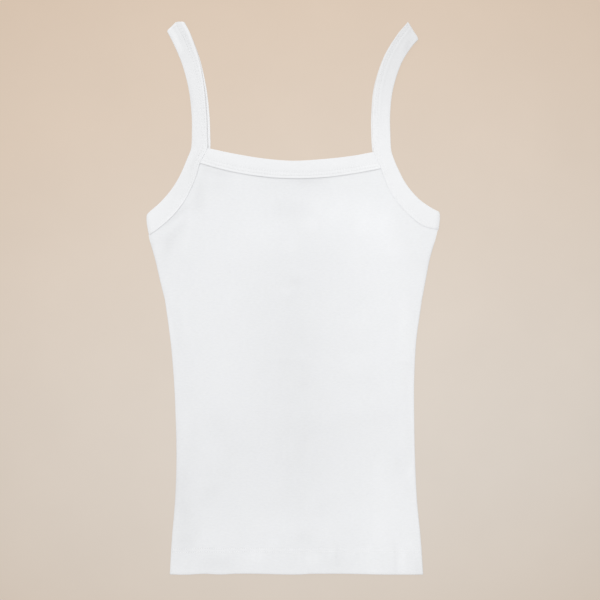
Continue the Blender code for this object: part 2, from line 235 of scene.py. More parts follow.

# Painted light and shade, a little lighter or darker in percent, laid out as the creases are
PAINTED_SHADING_FRONT = (
    (86, 112, 94, 42, 24, 24, 3.4),
    (100, 160, 104, -130, 34, 40, 2.2),
    (100, -180, 108, -320, 42, 40, 2.6),
    (-6, 90, -4, -230, 44, 46, -3),
    (12, 20, 10, -300, 3, 20, -1),
    (32, -168, 32, -300, 3, 14, -0.8),
    (-30, 129, 24, 127, 8, 8, -2.8),
    (2, 129, 42, 129.5, 5, 6, -4.4),
    (14, 102, 88, 92, 24, 32, 2.8),
    (16, 108, 36, 98, 7, 7, 1.8),
    (-72, 78, 4, 66, 26, 26, 1.8),
    (14, 92, 26, 72, 7, 8, 2),
    (-8, 64, 8, 56, 10, 10, 1.6),
    (-26, 100, 12, 98, 14, 12, -2.4),
    (-8, 20, 10, 18, 4, 4, -1.8),
    (-17, 10, -3, 8, 4, 4, 2),
    (-106, 141, -64, 136, 6, 5, -3.4),
    (-96, 128, -70, 114, 12, 12, -1.6),
    (-98, 150, -101, 92, 5, 7, -3.2),
    (-112, 108, -151, 75, 4, 5, -5.5),
    (-124, 98, -146, 40, 8, 10, -2.6),
    (-134, 66, -146, 40, 6, 6, -2.4),
    (-117, 112, -116, 40, 3, 3, 1.2),
    (-117, 12, -117, -52, 6, 6, 1.2),
    (-167, 98, -143, 0, 3.4, 3.4, -4.2),
    (-129.5, -140, -135, -272, 3, 3, -4.4),
    (-141, 18, -124.6, -60, 1.6, 1.6, -1.6),
    (-137, 0, -133, -50, 5, 3, 1.6),
    (-126, 90, -132, -280, 26, 24, -1.6),
    (-132, -130, -136, -290, 22, 20, -2.8),
    (-118, -112, -119, -196, 5, 5, 2.2),
    (-84, -110, -74, -262, 36, 40, -2.2),
    (0, -146, 92, -150, 22, 22, -1.5),
    (-2, -120, 0, -250, 44, 44, -1.4),
    (-124, -150, -120, -300, 16, 14, -1.8),
    (-90, -120, -60, -170, 16, 16, -1),
    (-104, 130, -108, 96, 8, 8, -1.6),
    (-84, -186, -122, -272, 8, 12, -1.2),
    (-47, -150, -98, -216, 8, 12, -0.8),
    (-128, -268, -108, -272, 8, 8, -1.8),
    (-108, -291, -62, -291, 9, 9, -3),
    (-54, -282, -32, -284, 9, 9, 3.4),
    (-32, -268, -12, -272, 8, 8, 2),
    (34, -291, 66, -288, 8, 8, -1.6),
    (12, -284, 30, -284, 8, 8, 3.4),
    (48, -268, 48, -288, 2, 2, -2.4),
    (84, -268, 88, -302, 9, 9, 1.8),
    (80, -299, 96, -299, 6, 6, 2),
    (110, -266, 111, -310, 2.2, 2.2, -3),
    (118, -270, 120, -306, 5, 8, 2.8),
    (122, -268, 134, -276, 6, 6, 2.2),
    (137, -280, 139, -310, 4, 4, -3),
    (-44, -250, 26, -256, 12, 8, 1.3),
    (0, -260, 22, -262, 7, 7, -2.6),
    (31, -236, 31, -276, 8, 8, 1.6),
    (95, -150, 97, -292, 8, 8, 1.2),
    (114, -164, 115, -198, 5, 5, -1.4),
    (129, -180, 130, -202, 4, 4, 2.4),
    (122, 6, 122, -66, 6, 6, 2.2),
    (132, -60, 133, -206, 5, 5, 3),
    (167, 108, 146, 8, 3.4, 3.4, -4.4),
)

# Painted light and shade on the strips, laid out the same: distance down from the shoulder, or along
# the neck, then in from the body edge
BANDS_LEFT = (
    (-14, 2.1, 42, 1.8, 1.2, 1.2, 7),
    (-6, 4.2, 26, 4, 1.2, 1.2, -2.4),
    (-10, 8.5, 27, 8, 1.3, 1.3, -2.6),
    (-10, 10.6, 30, 10.2, 0.9, 0.9, 2.4),
    (-10, 13.2, 27, 12, 1.3, 1.3, -3),
    (-16, 18, 34, 17, 3.6, 4, 5.5),
    (24, 1, 125, 1, 0.8, 0.8, 2.6),
    (62, 15.4, 100, 14.6, 2.4, 2.4, -2.8),
    (52, 16.4, 160, 15.6, 2, 2.4, -2),
    (120, 2.4, 166, 2.4, 1.6, 1.6, 2.6),
    (142, 6, 176, 8.4, 2, 3, -3.6),
    (176, 12, 236, 12, 5, 5, -1.4),
    (188, 1.5, 244, 1.5, 1.2, 1.2, 3.6),
    (26, 0.4, 82, 0.4, 0.9, 0.9, 3),
)
BANDS_RIGHT = (
    (-6, 1, 132, 1.2, 1.2, 1.2, 2),
    (26, 2, 100, 2.6, 1.2, 1.2, 1.4),
    (-8, 5.7, 34, 6.4, 1, 1, 2.2),
    (14, 6.4, 112, 7.2, 1.3, 1.3, 2.6),
    (-8, 3.5, 26, 4, 0.9, 0.9, -1.6),
    (10, 4.3, 104, 4.4, 1, 1, -1.6),
    (-8, 8.1, 24, 8.6, 1.1, 1.1, -3),
    (6, 8.9, 124, 9.2, 1.1, 1.5, -2.6),
    (-6, 6, 8, 9, 2.4, 2.4, -2.6),
    (9, 15, 30, 18, 3, 3.4, -4.6),
    (24, 13, 66, 12, 4, 4, -0.8),
    (188, 1.8, 240, 1.8, 1.2, 1.2, 2.4),
)
BANDS_NECK = (
    (-30, 8.2, 225, 8.2, 1.6, 1.6, -1.6),
    (-30, 3.5, 225, 3.5, 0.8, 0.8, -1.6),
    (-30, 1.8, 225, 1.8, 0.7, 0.7, 1),
    (130, 9, 212, 9, 8, 8, 1.2),
    (170, 5, 206, 4, 5, 6, 4),
)

# Painted light and shade by height alone, in percent: mostly darker higher up
PAINTED_SHADING_STITCHES = ((-300, 3), (-260, 3), (100, -3), (160, -3))
PAINTED_SHADING_LEFT = ((97, -0.8), (130, -3.3), (180, -3.7), (207, -5), (240, -5), (268, -7.7), (284, -9.2), (300, -8))
PAINTED_SHADING_RIGHT = ((95, -0.8), (125, 0.6), (174, -0.6), (207, -4.5), (240, -8.6), (273, -11), (290, -12))

# The straps' own creases: distance down from the shoulder, distance in from the body edge
CREASES_LEFT = (
    (1, 15, 30, 10.5, 2, 2.4, -0.25),
    (0, 2, 42, 2, 2.2, 2, 0.22),
    (0, 16.5, 34, 16, 3, 3, 0.12),
    (80, 5.2, 165, 5.2, 1, 1, 0.1),
    (146, 3, 172, 3, 5, 7, 0.22),
)
CREASES_RIGHT = (
    (2, 6.6, 60, 6.6, 1.6, 1.6, 0.16),
    (6, 13, 22, 18, 3, 3, -0.35),
    (34, 11, 50, 12, 4, 4, 0.16),
    (4, 9.6, 120, 9.8, 1.2, 1.6, -0.1),
    (150, 3, 176, 3, 5, 7, 0.22),
    (100, 0, 290, 0, 1, 1, -0.35),
)


def number(name, description, default, low, **kind):
    """A number that a user may set, from a lowest value on."""
    return bpy.props.FloatProperty(name=name, description=description, default=default, min=low, **kind)


def length(name, description, default, low, high):
    """A length in metres."""
    return number(name, description, default, low, max=high, unit="LENGTH")


def pair(name, description, default):
    """Two lengths in metres, one for each row of a seam's stitches."""
    return bpy.props.FloatVectorProperty(
        name=name, description=description, default=default, size=2, unit="LENGTH"
    )


def tint(name, description, default):
    """A colour."""
    return bpy.props.FloatVectorProperty(
        name=name, description=description, default=default, size=3, subtype="COLOR"
    )


class TankTopSizes(bpy.types.PropertyGroup):
    """Sizes of the cloth's folds and of the sewing."""

    hem_depth: length("Hem depth", "How far up the turned hem reaches", 0.0264, 0.01, 0.06)
    hem_rows: pair("Hem rows", "Height of the two stitch rows above the hem's edge", (0.0246, 0.0282))
    neck_rows: pair(
        "Neck rows", "Distance of the two stitch rows from a neck binding's body edge", (0.0035, 0.0071)
    )
    strap_rows: pair(
        "Strap rows", "Distance of the two stitch rows from a strap's body edge", (0.0026, 0.0054)
    )
    binding_stitch: length(
        "Binding stitch", "Length of one stitch on the bindings and straps", 0.00295, 0.001, 0.006
    )
    hem_stitch: length("Hem stitch", "Length of one stitch on the hem", 0.00255, 0.001, 0.006)
    thread: length("Thread", "Thickness of the sewing thread", 0.00045, 0.0001, 0.001)
    creases: number(
        "Creases", "How strongly the cloth's soft creases stand out", 1.0, 0.0, max=2.0, subtype="FACTOR"
    )
    grid_step: length("Mesh step", "Distance between the rows of a panel's mesh", 0.0017, 0.001, 0.01)


class TankTopFinish(bpy.types.PropertyGroup):
    """Colours of the cloth, the thread and the floor, and the light."""

    body_white: tint("Body", "Colour of the jersey", (0.841, 0.849, 0.862))
    strip_white: tint("Bindings", "Colour of the bindings and straps", (0.87, 0.876, 0.887))
    thread_white: tint("Thread", "Colour of the thread", (0.93, 0.935, 0.94))
    wale: length("Wale", "Width of one column of knit stitches", 0.0007, 0.0003, 0.003)
    course: length("Course", "Height of one row of knit stitches", 0.00052, 0.0003, 0.003)
    sheen: number("Sheen", "Soft nap of the cotton", 0.12, 0.0, max=1.0, subtype="FACTOR")
    floor_far: tint("Floor at the straps", "Colour of the floor beyond the straps", (0.741, 0.628, 0.526))
    floor_near: tint("Floor at the hem", "Colour of the floor below the hem", (0.741, 0.682, 0.62))
    key_power: number("Window light", "Power of the large soft light", 80.0, 0.0, unit="POWER")
    fill_power: number("Reflector", "Power of the light on the right", 1.2, 0.0, unit="POWER")
    sky: number("Room light", "Strength of the even light from all round", 0.76, 0.0, max=2.0)
    camera_height: length("Camera height", "Distance of the camera above the garment", 1.5598, 0.5, 5.0)


def sizes():
    """The sizes set in the scene."""
    return bpy.context.scene.tank_top_sizes


def finish():
    """The colours and light set in the scene."""
    return bpy.context.scene.tank_top_finish


def in_mm(lengths):
    """Lengths in millimetres, from metres."""
    return [one / MM for one in lengths]


# ---- Curves and soft shapes


def smooth(rows, at):
    """Catmull-Rom curve through the rows, read at the row numbers in at: a cubic between each two rows."""
    rows = np.asarray(rows, float)
    at = np.atleast_1d(np.asarray(at, float))
    padded = np.vstack([2 * rows[0] - rows[1], rows, 2 * rows[-1] - rows[-2]])
    low = np.clip(np.floor(at).astype(int), 0, len(rows) - 2)
    t = (at - low)[:, None]
    a, b, c, d = (padded[low + i] for i in range(4))
    return b + 0.5 * t * (c - a + t * (2 * a - 5 * b + 4 * c - d + t * (3 * (b - c) + d - a)))


def fall(distance, hold, end):
    """1 as far as hold, then an S-curve down to 0 at end: 3 t squared minus 2 t cubed."""
    t = np.clip((end - distance) / (end - hold), 0, 1)
    return t * t * (3 - 2 * t)


def rounded(distance, radius):
    """A quarter circle: 0 at an edge, rising to 1 at the radius from it."""
    return np.sqrt(1 - (1 - np.clip(distance / radius, 0, 1)) ** 2)


def bell(distance, width):
    """A soft bump: e to the minus square of distance over width."""
    return np.exp(-((distance / width) ** 2))


def unit(vectors):
    """The vectors at length 1."""
    return vectors / np.linalg.norm(vectors, axis=-1, keepdims=True)


def by_table(at, table):
    """Straight lines between a table's pairs of place and value."""
    return np.interp(at, *np.transpose(table))


def nearest(points, line):
    """Distance from each point to the nearest sample of a line."""
    steps = points.astype(np.float32)[..., None, :] - line.astype(np.float32)
    return np.sqrt((steps**2).sum(-1).min(-1)).astype(float)


def evenly(curve, start, end, pieces):
    """Where to read a curve so that it is cut into equal lengths, and its length: summed steps, read back."""
    fine = np.linspace(start, end, CURVE_POINTS)
    run = np.append(0, np.cumsum(np.linalg.norm(np.diff(curve(fine), axis=0), axis=1)))
    return np.interp(np.linspace(0, run[-1], pieces + 1), run, fine), run[-1]


def whole_stitches(curve, start, end):
    """Where to read a curve so that it is cut into whole stitches, each of as many steps."""
    run = evenly(curve, start, end, 1)[1]
    return evenly(curve, start, end, STITCH_STEPS * int(round(run / (sizes().binding_stitch / MM))))[0]


def ripples(places, seed, shortest, longest, count=16):
    """Smooth unevenness of about -1 to 1: sine waves in drawn directions, each as high as it is long."""
    draw = np.random.default_rng(seed)
    waves = shortest * (longest / shortest) ** draw.random(count)
    turns, starts = draw.random((2, count)) * 2 * np.pi
    total = np.zeros(places.shape[:-1])
    for wave, turn, start in zip(waves, turns, starts):
        along = places[..., 0] * np.cos(turn) + places[..., 1] * np.sin(turn)
        total += wave * np.sin(along * 2 * np.pi / wave + start)
    return total / np.linalg.norm(waves)


def ridges(places, table, seed, stray, uneven=0.3):
    """Sum of soft ridges and troughs along lines. Each has a bell across it, of its own width on either
    side, and a rounded rise and fall along it. The lines stray a little and rise unevenly."""
    wander = np.stack([ripples(places, seed, 30.0, 80.0), ripples(places, seed + 1, 30.0, 80.0)], -1)
    places = places + stray * wander
    total = np.zeros(places.shape[:-1])
    for x0, y0, x1, y1, left, right, height in np.array(table, float):
        start = np.array((x0, y0))
        run = np.array((x1, y1)) - start
        share = ((places - start) @ run) / (run @ run)
        beside = places - start - np.clip(share, 0, 1)[..., None] * run
        across = beside @ np.array((-run[1], run[0]))
        off = np.linalg.norm(beside, axis=-1)
        along = np.sin(np.pi * np.clip(share, 0.02, 0.98)) ** 0.7
        total += height * along * bell(off, np.where(across > 0, left, right))
    return total * (1 + uneven * ripples(places, seed + 2, 18.0, 50.0))


# ---- Where the pieces lie


def strip_ends(strip, rows, back):
    """A strip's arm-side and body-side points at table rows. back is 0 for the front layer, and 1 for
    the back one."""
    at = smooth(strip, rows)
    arm = at[:, 0:2]
    body = at[:, 2:4]
    moved = unit(body - arm) * at[:, 4:5] * back
    return arm + moved, body + moved


def strip_seam(strip, rows, back, clear):
    """Points past a strip's body edge by clear, or inside its slot where clear is below 0."""
    arm, body = strip_ends(strip, rows, back)
    return body + unit(body - arm) * clear


def neck_line(lower, back, clear, shares):
    """The top or the lower edge of a neck binding, from strip to strip."""
    middle = NECK[:, 2:4] if lower else NECK[:, 0:2]
    drop = (0.0, BACK_NECK_DROP * back)
    ends = [strip_seam(strip, NECK_ROWS[back][lower], back, clear) for strip in (STRIP_LEFT, STRIP_RIGHT)]
    line = np.vstack([ends[0], middle - drop, ends[1]])
    return smooth(line, np.asarray(shares) * (len(line) - 1))


def column_at(table, at, column):
    """A smooth curve through one column of a table, at places given by its first column."""
    rows = np.interp(at, table[:, 0], np.arange(len(table)))
    return smooth(table[:, [column]], rows.ravel())[:, 0].reshape(np.shape(at))


def side_x(heights, column):
    """A body edge's x at each height: column 1 is the left edge, 2 the right one."""
    return column_at(SIDES, heights, column)


def hem_wave(across):
    """How far the hem's edge strays at each place across."""
    return column_at(HEM_WAVE, across, 1)


def above_hem(places):
    """Height of each place above the hem's edge."""
    return places[..., 1] - HEM - hem_wave(places[..., 0])


def from_side(places):
    """Distance of each place from the body's nearer edge. The armholes have no such edge, so above the
    underarm it counts as far away."""
    level = places[..., 1]
    left = places[..., 0] - side_x(level, 1)
    right = side_x(level, 2) - places[..., 0]
    return np.minimum(left, right) + 60 * (1 - fall(level, 60.0, 69.0))


def neck_seam(back):
    """Points along a neck binding's lower edge."""
    return neck_line(True, back, 0.0, np.linspace(0, 1, NECK_POINTS))


def from_seams(places, back):
    """Distance of each place from the strips' and the neck binding's body edges."""
    rows = np.linspace(NECK_ROWS[back][1], UNDERARM, 200)
    lines = [strip_seam(strip, rows, back, 0.0) for strip in (STRIP_LEFT, STRIP_RIGHT)]
    lines.append(neck_seam(back))
    distance = np.full(places.shape[:-1], 90.0)
    near = places[..., 1] > 30.0
    distance[near] = nearest(places[near], np.vstack(lines))
    return distance


def from_neck_seam(places, distance, width):
    """1 at a distance below the front neck binding's lower edge, falling to 0 past a width."""
    found = np.zeros(places.shape[:-1])
    near = places[..., 1] > 100.0
    found[near] = bell(nearest(places[near], neck_seam(0)) - distance, width)
    return found


def hem_steps():
    """Heights above the hem's edge at which a panel's first rows lie, close together at the stitch rows."""
    low, high = in_mm(sizes().hem_rows)
    edge = np.array((0.0, 0.07, 0.22, 0.45, 0.8, 1.3, 2.2, 3.6, 5.6))
    return np.concatenate([edge, np.arange(8.0, low - 3, 3.0), np.arange(low - 2.4, high + 2.4, 0.4)])


def panel_edge(strip, column, back):
    """A panel's edge from the hem up: the body's edge, then inside the strip's slot as far as the neck."""
    top_row = NECK_ROWS[back][1]
    rows, _ = evenly(lambda at: strip_seam(strip, at, back, -TUCK), UNDERARM, top_row, SEAM_ROWS)
    closing = np.array((0.7, 0.45, 0.3, 0.2, 0.1, 0))
    rows = np.concatenate([rows[:-3], top_row + (rows[-4] - top_row) * closing])
    seam = strip_seam(strip, rows, back, -TUCK)
    steps = hem_steps()
    count = int((BODY_LENGTH - steps[-1]) / (sizes().grid_step / MM))
    body = np.linspace(steps[-1], seam[0, 1] - HEM - 2.0, count + 1)[1:]
    heights = HEM + np.concatenate([steps, body])
    edge = np.column_stack([side_x(heights, column), heights])
    return np.vstack([edge, seam]), len(heights)


def panel_plan(back):
    """A panel's points in plan, row by row from the hem up and from left to right. Rows run straight
    from edge to edge and take up the neckline's curve little by little above the underarm."""
    left, body_rows = panel_edge(STRIP_LEFT, 1, back)
    right, _ = panel_edge(STRIP_RIGHT, 2, back)
    width = np.linalg.norm(right - left, axis=1)[:, None]
    insets = np.array((0.0, 0.12, 0.35, 0.7, 1.15, 1.7, 2.6, 4.0, 6.0, 8.5)) / width
    inner = np.linspace(0, 1, COLUMNS)[1:-1]
    inner = insets[:, -1:] + inner * (1 - 2 * insets[:, -1:])
    shares = np.hstack([insets, inner, 1 - insets[:, ::-1]])
    plan = left[:, None] + (right - left)[:, None] * shares[..., None]
    neck = neck_line(True, back, -TUCK, shares[-1]) + (0.0, TUCK)
    rise = np.linspace(0, 1, len(left) - body_rows) ** 1.3
    weight = np.concatenate([np.zeros(body_rows), rise])
    plan = plan + weight[:, None, None] * (neck - plan[-1])
    plan[..., 1] += faded_wave(plan)
    return plan


def faded_wave(plan):
    """The hem's wave, dying away above it."""
    return hem_wave(plan[..., 0]) * fall(plan[..., 1] - HEM, 30.0, 70.0)


def hem_sewing(rise):
    """Relief of the hem's stitch rows at each height above its edge: two grooves and a swelling between."""
    low, high = in_mm(sizes().hem_rows)
    grooves = bell(rise - low, 0.6) + bell(rise - high, 0.6)
    return 0.04 * bell(rise - (low + high) / 2, 1.0) - 0.06 * grooves


def panel_heights(places, back):
    """The outer and the inner face of a panel at each place, in millimetres.

    The front's outer face lies level, rises to the bindings and to the hem, and carries the creases.
    Cloth is one layer thick, two in the hem, and pressed thin where it goes into a binding. Towards
    the body's edges and the hem's both faces round over and meet."""
    rise = above_hem(places)
    side = from_side(places)
    seam = from_seams(places, back)
    depth = sizes().hem_depth / MM
    at_seam = fall(seam, 3.0, 12.0 if back else 20.0)
    doubled = fall(rise, depth - 1.1, depth + 1.1)
    thickness = CLOTH + (HEM_CLOTH - CLOTH) * doubled - (CLOTH - TUCKED) * fall(seam, 0.5, 3.0)
    free = (1 - fall(side, 0.0, 7.0)) * (1 - fall(seam, 2.0, 11.0))
    pucker = ripples(places * (1.0, 0.15), 31, 9.0, 22.0) * bell(rise - depth, 9.0)
    if back:
        creases = sizes().creases * ridges(places, CREASES_BACK, 21, 1.6)
        swell = np.maximum(0.0, creases + 0.05 * ripples(places, 23, 30.0, 110.0) + 0.03 * pucker)
        outer = 0.65 * at_seam + swell * free - 2.0 * hem_sewing(rise) * free + 0.36 * bell(rise - depth, 3.5)
        inner = outer + thickness
    else:
        creases = sizes().creases * ridges(places, CREASES_FRONT, 11, 1.6)
        swell = np.maximum(creases + 0.09 * ripples(places, 13, 26.0, 110.0) + 0.07 * pucker, -0.12)
        lift = (SEAM_TOP - FRONT_TOP) * at_seam + HEM_LIFT * fall(rise, depth + 1.5, depth + 48.0)
        lift -= NECK_DIP * from_neck_seam(places, 1.2, 1.1)
        outer = FRONT_TOP + lift + swell * free + 0.07 * doubled + hem_sewing(rise) - 0.15 * fall(side, 0, 7)
        inner = outer - thickness
    # The rim where both faces meet: half-way up the layers at the body's edges, mid-cloth at the hem.
    edge_height = RIM_LEVEL + HEM_RIM_LIFT * fall(rise, depth, depth + 30.0)
    middle = (outer + inner) / 2
    rim = middle + (edge_height - middle) * fall(side, 0.0, 8.0)
    over = rounded(side, 1.5) * rounded(rise, 0.8)
    under = (1 - fall(side, 0.0, 6.0)) * rounded(rise, 0.8)
    slit = -0.02 if back else 0.02
    return rim + slit + (outer - rim) * over, rim + slit + (inner - rim) * under


def painted_panel_shading(places, table):
    """A panel's painted light and shade, as a change of brightness in percent: soft bands from a table,
    a darker roll painted at the body's edges and the hem's, painted shade along the neck seam, fine
    upright streaks of painted light and shade where the hem's sewing gathers the cloth, and painted
    lighter and darker spots where some of its stitches pull more than others. Shade is stronger on the
    left, and so are the spots."""
    rise = above_hem(places)
    roll = 3.0 * bell(from_side(places), 1.8) + 3.2 * bell(rise - 0.8, 1.6)
    shade = (1.5 + 3.0 * fall(places[..., 0], -80.0, 60.0)) * from_neck_seam(places, 0.3, 1.0)
    shade += 1.2 * from_neck_seam(places, 0.0, 4.5)
    gathers = 0.5 * ripples(places * (1.0, 0.12), 33, 5.0, 9.0) * bell(rise - 19.0, 12.0)
    pulls = np.random.default_rng(35).random((2, 1, places.shape[1])) - 0.6
    pulls = pulls * (1.0 + 4.0 * fall(places[..., 0], -100.0, 60.0))
    for row, pull in zip(in_mm(sizes().hem_rows), pulls):
        gathers += pull * bell(rise - row, 0.8) * fall(-from_side(places), -6.0, -3.0)
    return ridges(places, table, 41, 1.6, 0.1) - roll - shade + gathers


# ---- Meshes


def grid_faces(rows, columns):
    """Quads between the points of a grid numbered row by row, and the points round it, in turn."""
    corner = np.arange(rows * columns).reshape(rows, columns)
    faces = np.stack([corner[:-1, :-1], corner[:-1, 1:], corner[1:, 1:], corner[1:, :-1]], -1)
    ring = [corner[0, :-1], corner[:-1, -1], corner[-1, :0:-1], corner[:0:-1, 0]]
    return faces.reshape(-1, 4), np.concatenate(ring)


def volume(points, faces):
    """Space inside a closed mesh, a sixth of the summed triple products: below 0 if faces point inwards."""
    total = 0.0
    for flat in faces:
        for k in range(1, flat.shape[1] - 1):
            a, b, c = points[flat[:, 0]], points[flat[:, k]], points[flat[:, k + 1]]
            total += np.einsum("ij,ij->i", a, np.cross(b, c)).sum() / 6
    return total


def make_mesh(name, points, faces, flat, material, marks):
    """An object from points in millimetres. faces is a list of arrays, each of faces with as many
    corners, and flat holds the same faces' corners on the cloth laid out flat, in millimetres. marks
    holds values at the points by name: painted light and shade as a change of brightness in percent,
    and sunk, how far the sewing has sunk into the cloth, from 0 where its needle holes show fully to
    about 1 where they hardly show."""
    if volume(points, faces) < 0:
        faces = [one[:, ::-1] for one in faces]
        flat = [one[:, ::-1] for one in flat]
    mesh = bpy.data.meshes.new(name)
    corners = np.concatenate([one.ravel() for one in faces]).astype(np.int32)
    counts = np.concatenate([np.full(len(one), one.shape[1]) for one in faces])
    starts = np.append(0, np.cumsum(counts)[:-1]).astype(np.int32)
    mesh.vertices.add(len(points))
    mesh.vertices.foreach_set("co", (points * MM).astype(np.float32).ravel())
    mesh.loops.add(len(corners))
    mesh.loops.foreach_set("vertex_index", corners)
    mesh.polygons.add(len(starts))
    mesh.polygons.foreach_set("loop_start", starts)
    mesh.update(calc_edges=True)
    layout = mesh.uv_layers.new(name="cloth")
    places = np.concatenate([one.reshape(-1, 2) for one in flat])
    layout.data.foreach_set("uv", places.astype(np.float32).ravel())
    for mark, values in marks.items():
        layer = mesh.attributes.new(mark, "FLOAT", "POINT")
        layer.data.foreach_set("value", values.astype(np.float32).ravel())
    mesh.shade_smooth()
    mesh.set_sharp_from_angle(angle=np.radians(60))
    mesh.materials.append(material)
    made = bpy.data.objects.new(name, mesh)
    bpy.context.scene.collection.objects.link(made)
    return made


def cloth_wall(name, plan, heights, flat, material, marks):
    """A closed sheet over a plan: its two faces are the heights, joined all round by a rim."""
    rows, columns = plan.shape[:2]
    points = np.concatenate([np.dstack([plan, height]).reshape(-1, 3) for height in heights])
    face, ring = grid_faces(rows, columns)
    after = np.roll(ring, -1)
    rim = np.stack([ring + rows * columns, after + rows * columns, after, ring], -1)
    faces = np.vstack([face, face[:, ::-1] + rows * columns, rim])
    places = np.tile(flat.reshape(-1, 2), (2, 1))
    marks = {mark: np.tile(values.ravel(), 2) for mark, values in marks.items()}
    return make_mesh(name, points, [faces], [places[faces]], material, marks)


def carried(name, rings, path, girth, looped, material, marks):
    """A profile carried along a path: quads between neighbouring rings of points. The path closes on
    itself, or both its ends are closed by faces that meet in a middle point."""
    count, size = rings.shape[:2]
    ring = np.arange(count if looped else count - 1)[:, None]
    point = np.arange(size)[None, :]
    corners = ((ring, point), (ring + 1, point), (ring + 1, point + 1), (ring, point + 1))
    faces = np.stack([(i % count) * size + j % size for i, j in corners], -1).reshape(-1, 4)
    along = np.append(path, path[-1] + np.diff(path)[-1])
    flat = np.stack([np.stack([along[i] + 0 * j, girth[j] + 0 * i], -1) for i, j in corners], -2)
    points = rings.reshape(-1, 3)
    faces, flat = [faces], [flat.reshape(-1, 4, 2)]
    if not looped:
        points = np.vstack([points, rings[[0, -1]].mean(1)])
        edge = np.arange(size)
        after = (edge + 1) % size
        start = np.stack([np.full(size, count * size), edge, after], -1)
        end = np.stack([np.full(size, count * size + 1), after, edge], -1)
        end[:, 1:] += (count - 1) * size
        marks = {mark: np.append(values, (0.0, 0.0)) for mark, values in marks.items()}
        faces.append(np.vstack([start, end]))
        flat.append(np.zeros((2 * size, 3, 2)) + np.array((path[0], 0.0)))
    return make_mesh(name, points, faces, flat, material, marks)


# ---- Bindings and straps


def strip_profile(rows):
    """A strip's section, point by point round it: distance from the body edge as a + b times the width,
    height from mid-cloth, how much of the sewing's relief it takes, and how much of the slot's opening.

    It goes from the arm-side fold over the outer face to the body edge, in and out of the slot that
    holds the panel, and back along the inner face. It has a point on each row of sewing."""
    low, high = rows
    arm = np.array((0.0, 0.06, 0.23, 0.5, 0.85, 1.4, 2.1, 3.0, 4.2))
    near = np.array((0.0, 0.1, 0.3, 0.6, 1.0, 1.4, 1.8))
    row = np.array((-0.5, -0.22, 0.0, 0.22, 0.5))
    between = np.linspace(low + 0.5, high - 0.5, 5)[1:-1]
    last = high + 2.2
    face = np.concatenate([near, low + row, between, high + row, (high + 1.2, last)])
    half = BINDING / 2
    over = [(-t, 1.0, half * rounded(t, half), rounded(t, half), 0.0) for t in arm]
    over += [(last - (last + 4.2) * k, k, half, 1.0, 0.0) for k in np.arange(5, 0, -1) / 6]
    over += [(s, 0.0, half - 0.4 * (1 - rounded(s, 0.6)), rounded(s, 0.6), 0.0) for s in face[::-1]]
    slot = [(0.05, 0.27), (0.25, 0.2), (0.8, 0.2), (SLOT_DEPTH, 0.15)]
    slot += [(SLOT_DEPTH, -0.55), (0.8, -0.6), (0.25, -0.6), (0.05, -0.66)]
    over += [(s, 0.0, level, 0.0, 1.0) for s, level in slot]
    inner = ((0.25, 0.0), (3.0, 0.0), (7.0, 0.0), (0.0, 0.62), (-2.4, 1.0))
    over += [(s, k, -half, 0.0, 0.0) for s, k in inner]
    over += [(-t, 1.0, -half * rounded(t, half), 0.0, 0.0) for t in (0.85, 0.4, 0.1)]
    return np.array(over).T


def strip_girth(profile, width):
    """Distance round a section of the given width at each of its points, from the body edge inwards over
    the outer face, and below 0 past that edge."""
    a, b, level = profile[:3]
    section = np.column_stack([a + b * width, level])
    edge = np.flatnonzero((section[:, 0] == 0) & (level > 0))[0]
    section = np.vstack([section, section[:1]])
    round_it = np.append(0, np.cumsum(np.linalg.norm(np.diff(section, axis=0), axis=1)))
    return round_it[edge] - round_it


def strip_relief(inset, width, sewing, holes, unevenness, pull):
    """Height of the sewing's relief on a strip's outer face. Each stitch row draws a narrow groove,
    deepest at the needle holes and as deep as its pull; the lip outside it, the cloth between the rows
    and the plain half of the strip swell, and the strip thins towards its arm-side fold."""
    low, high = sewing
    grooves = pull * (bell(inset - low, 0.5) + bell(inset - high, 0.5))
    lip = 0.05 * bell(inset - low / 2, 1.0)
    between = (0.06 - 0.03 * holes) * bell(inset - (low + high) / 2, 1.3)
    plain = 0.08 * bell(inset - (high + width) / 2, 4.0)
    thinning = 0.16 * np.clip(1 - (width - inset) / 4.0, 0, 1) ** 2
    return lip + (between + plain) * (1 + 0.4 * unevenness) - (0.04 + 0.05 * holes) * grooves - thinning


def strip_levels(profile, relief, opening):
    """Heights from mid-cloth: the profile's own with the relief on them, its slot pressed to a share."""
    level, relief_part, slot_part = profile[2:]
    return np.where(slot_part > 0, SLOT_LEVEL + (level - SLOT_LEVEL) * opening, level + relief * relief_part)


def strip_runs(strip):
    """The ways a strip's edges run on at its two folds, arm side and body side, scaled so that the part
    square to the fold is 1."""
    found = []
    for row, before in ((0.0, 0.1), (UNDERARM, UNDERARM - 0.1)):
        arms, bodies = strip_ends(strip, (row, before), 0)
        across = unit(bodies[0] - arms[0])
        away = np.array((-across[1], across[0]))
        sense = np.sign((arms[0] - arms[1]) @ away)
        found.append([sense * (ends[0] - ends[1]) / ((ends[0] - ends[1]) @ away) for ends in (arms, bodies)])
    return np.array(found)


def painted_strip_shading(where, width, table, seed):
    """A strip's painted light and shade, as a change of brightness at places counted along it and in from
    its body edge: soft bands from a table, and a darker roll painted at its arm-side fold."""
    return ridges(where, table, seed, 0.2, 0.1) - 2.4 * bell(width - where[..., 1], 1.3)


def painted_stitch_shading(own, sewing, holes):
    """Painted light and shade that the sewing gives, in percent: the cloth in and between the two rows
    swells in the middle of each stitch and dips at its ends, so it is painted lighter in the middle
    and darker at the ends."""
    low, high = sewing
    return -1.5 * holes * fall(np.abs(own - (low + high) / 2), (high - low) / 2, (high - low) / 2 + 1.6)


